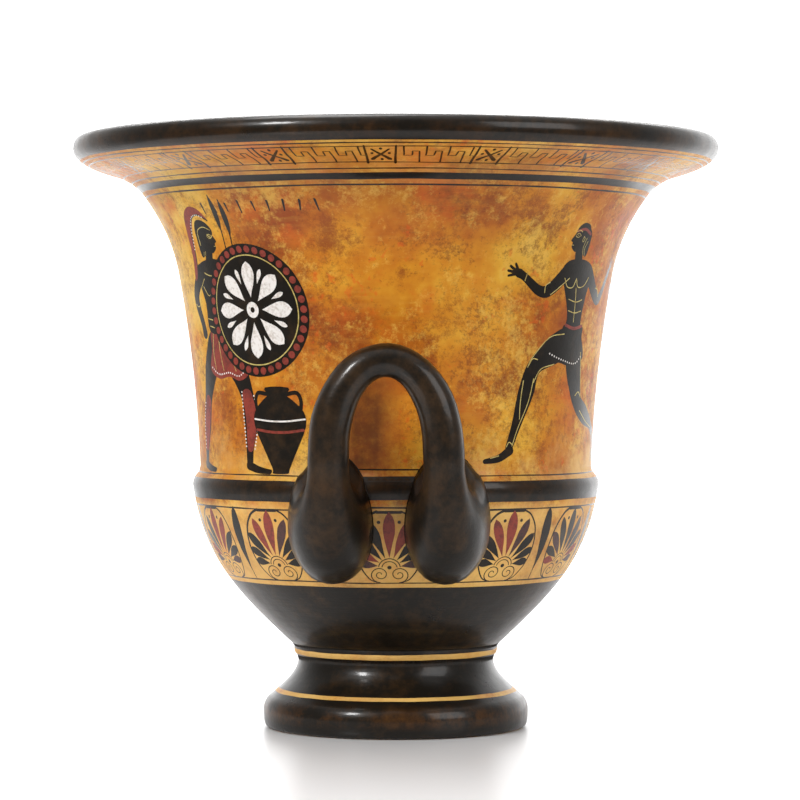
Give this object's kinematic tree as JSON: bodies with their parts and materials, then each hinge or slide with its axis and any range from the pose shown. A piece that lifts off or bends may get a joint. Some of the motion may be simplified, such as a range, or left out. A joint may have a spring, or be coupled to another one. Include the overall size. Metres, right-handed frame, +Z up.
{
  "type": "greek krater",
  "caption": "Wide-mouthed fired-clay mixing bowl on a spreading foot, painted in black gloss over clay, with upright loop handles low on its sides.",
  "frame": {"origin": "middle of the foot's underside, on the axis of the bowl", "axes": "+Z up along the axis of the bowl, the two handles at -Y and +Y, +X a quarter turn round between them"},
  "size_m": [0.3508, 0.3508, 0.32],
  "materials": {
    "glossed_clay": "fired amber clay with hand-painted black gloss, added red and white, under a clear sheen"
  },
  "bodies": {
    "root": {"krater": "glossed_clay"}
  },
  "joints": []
}
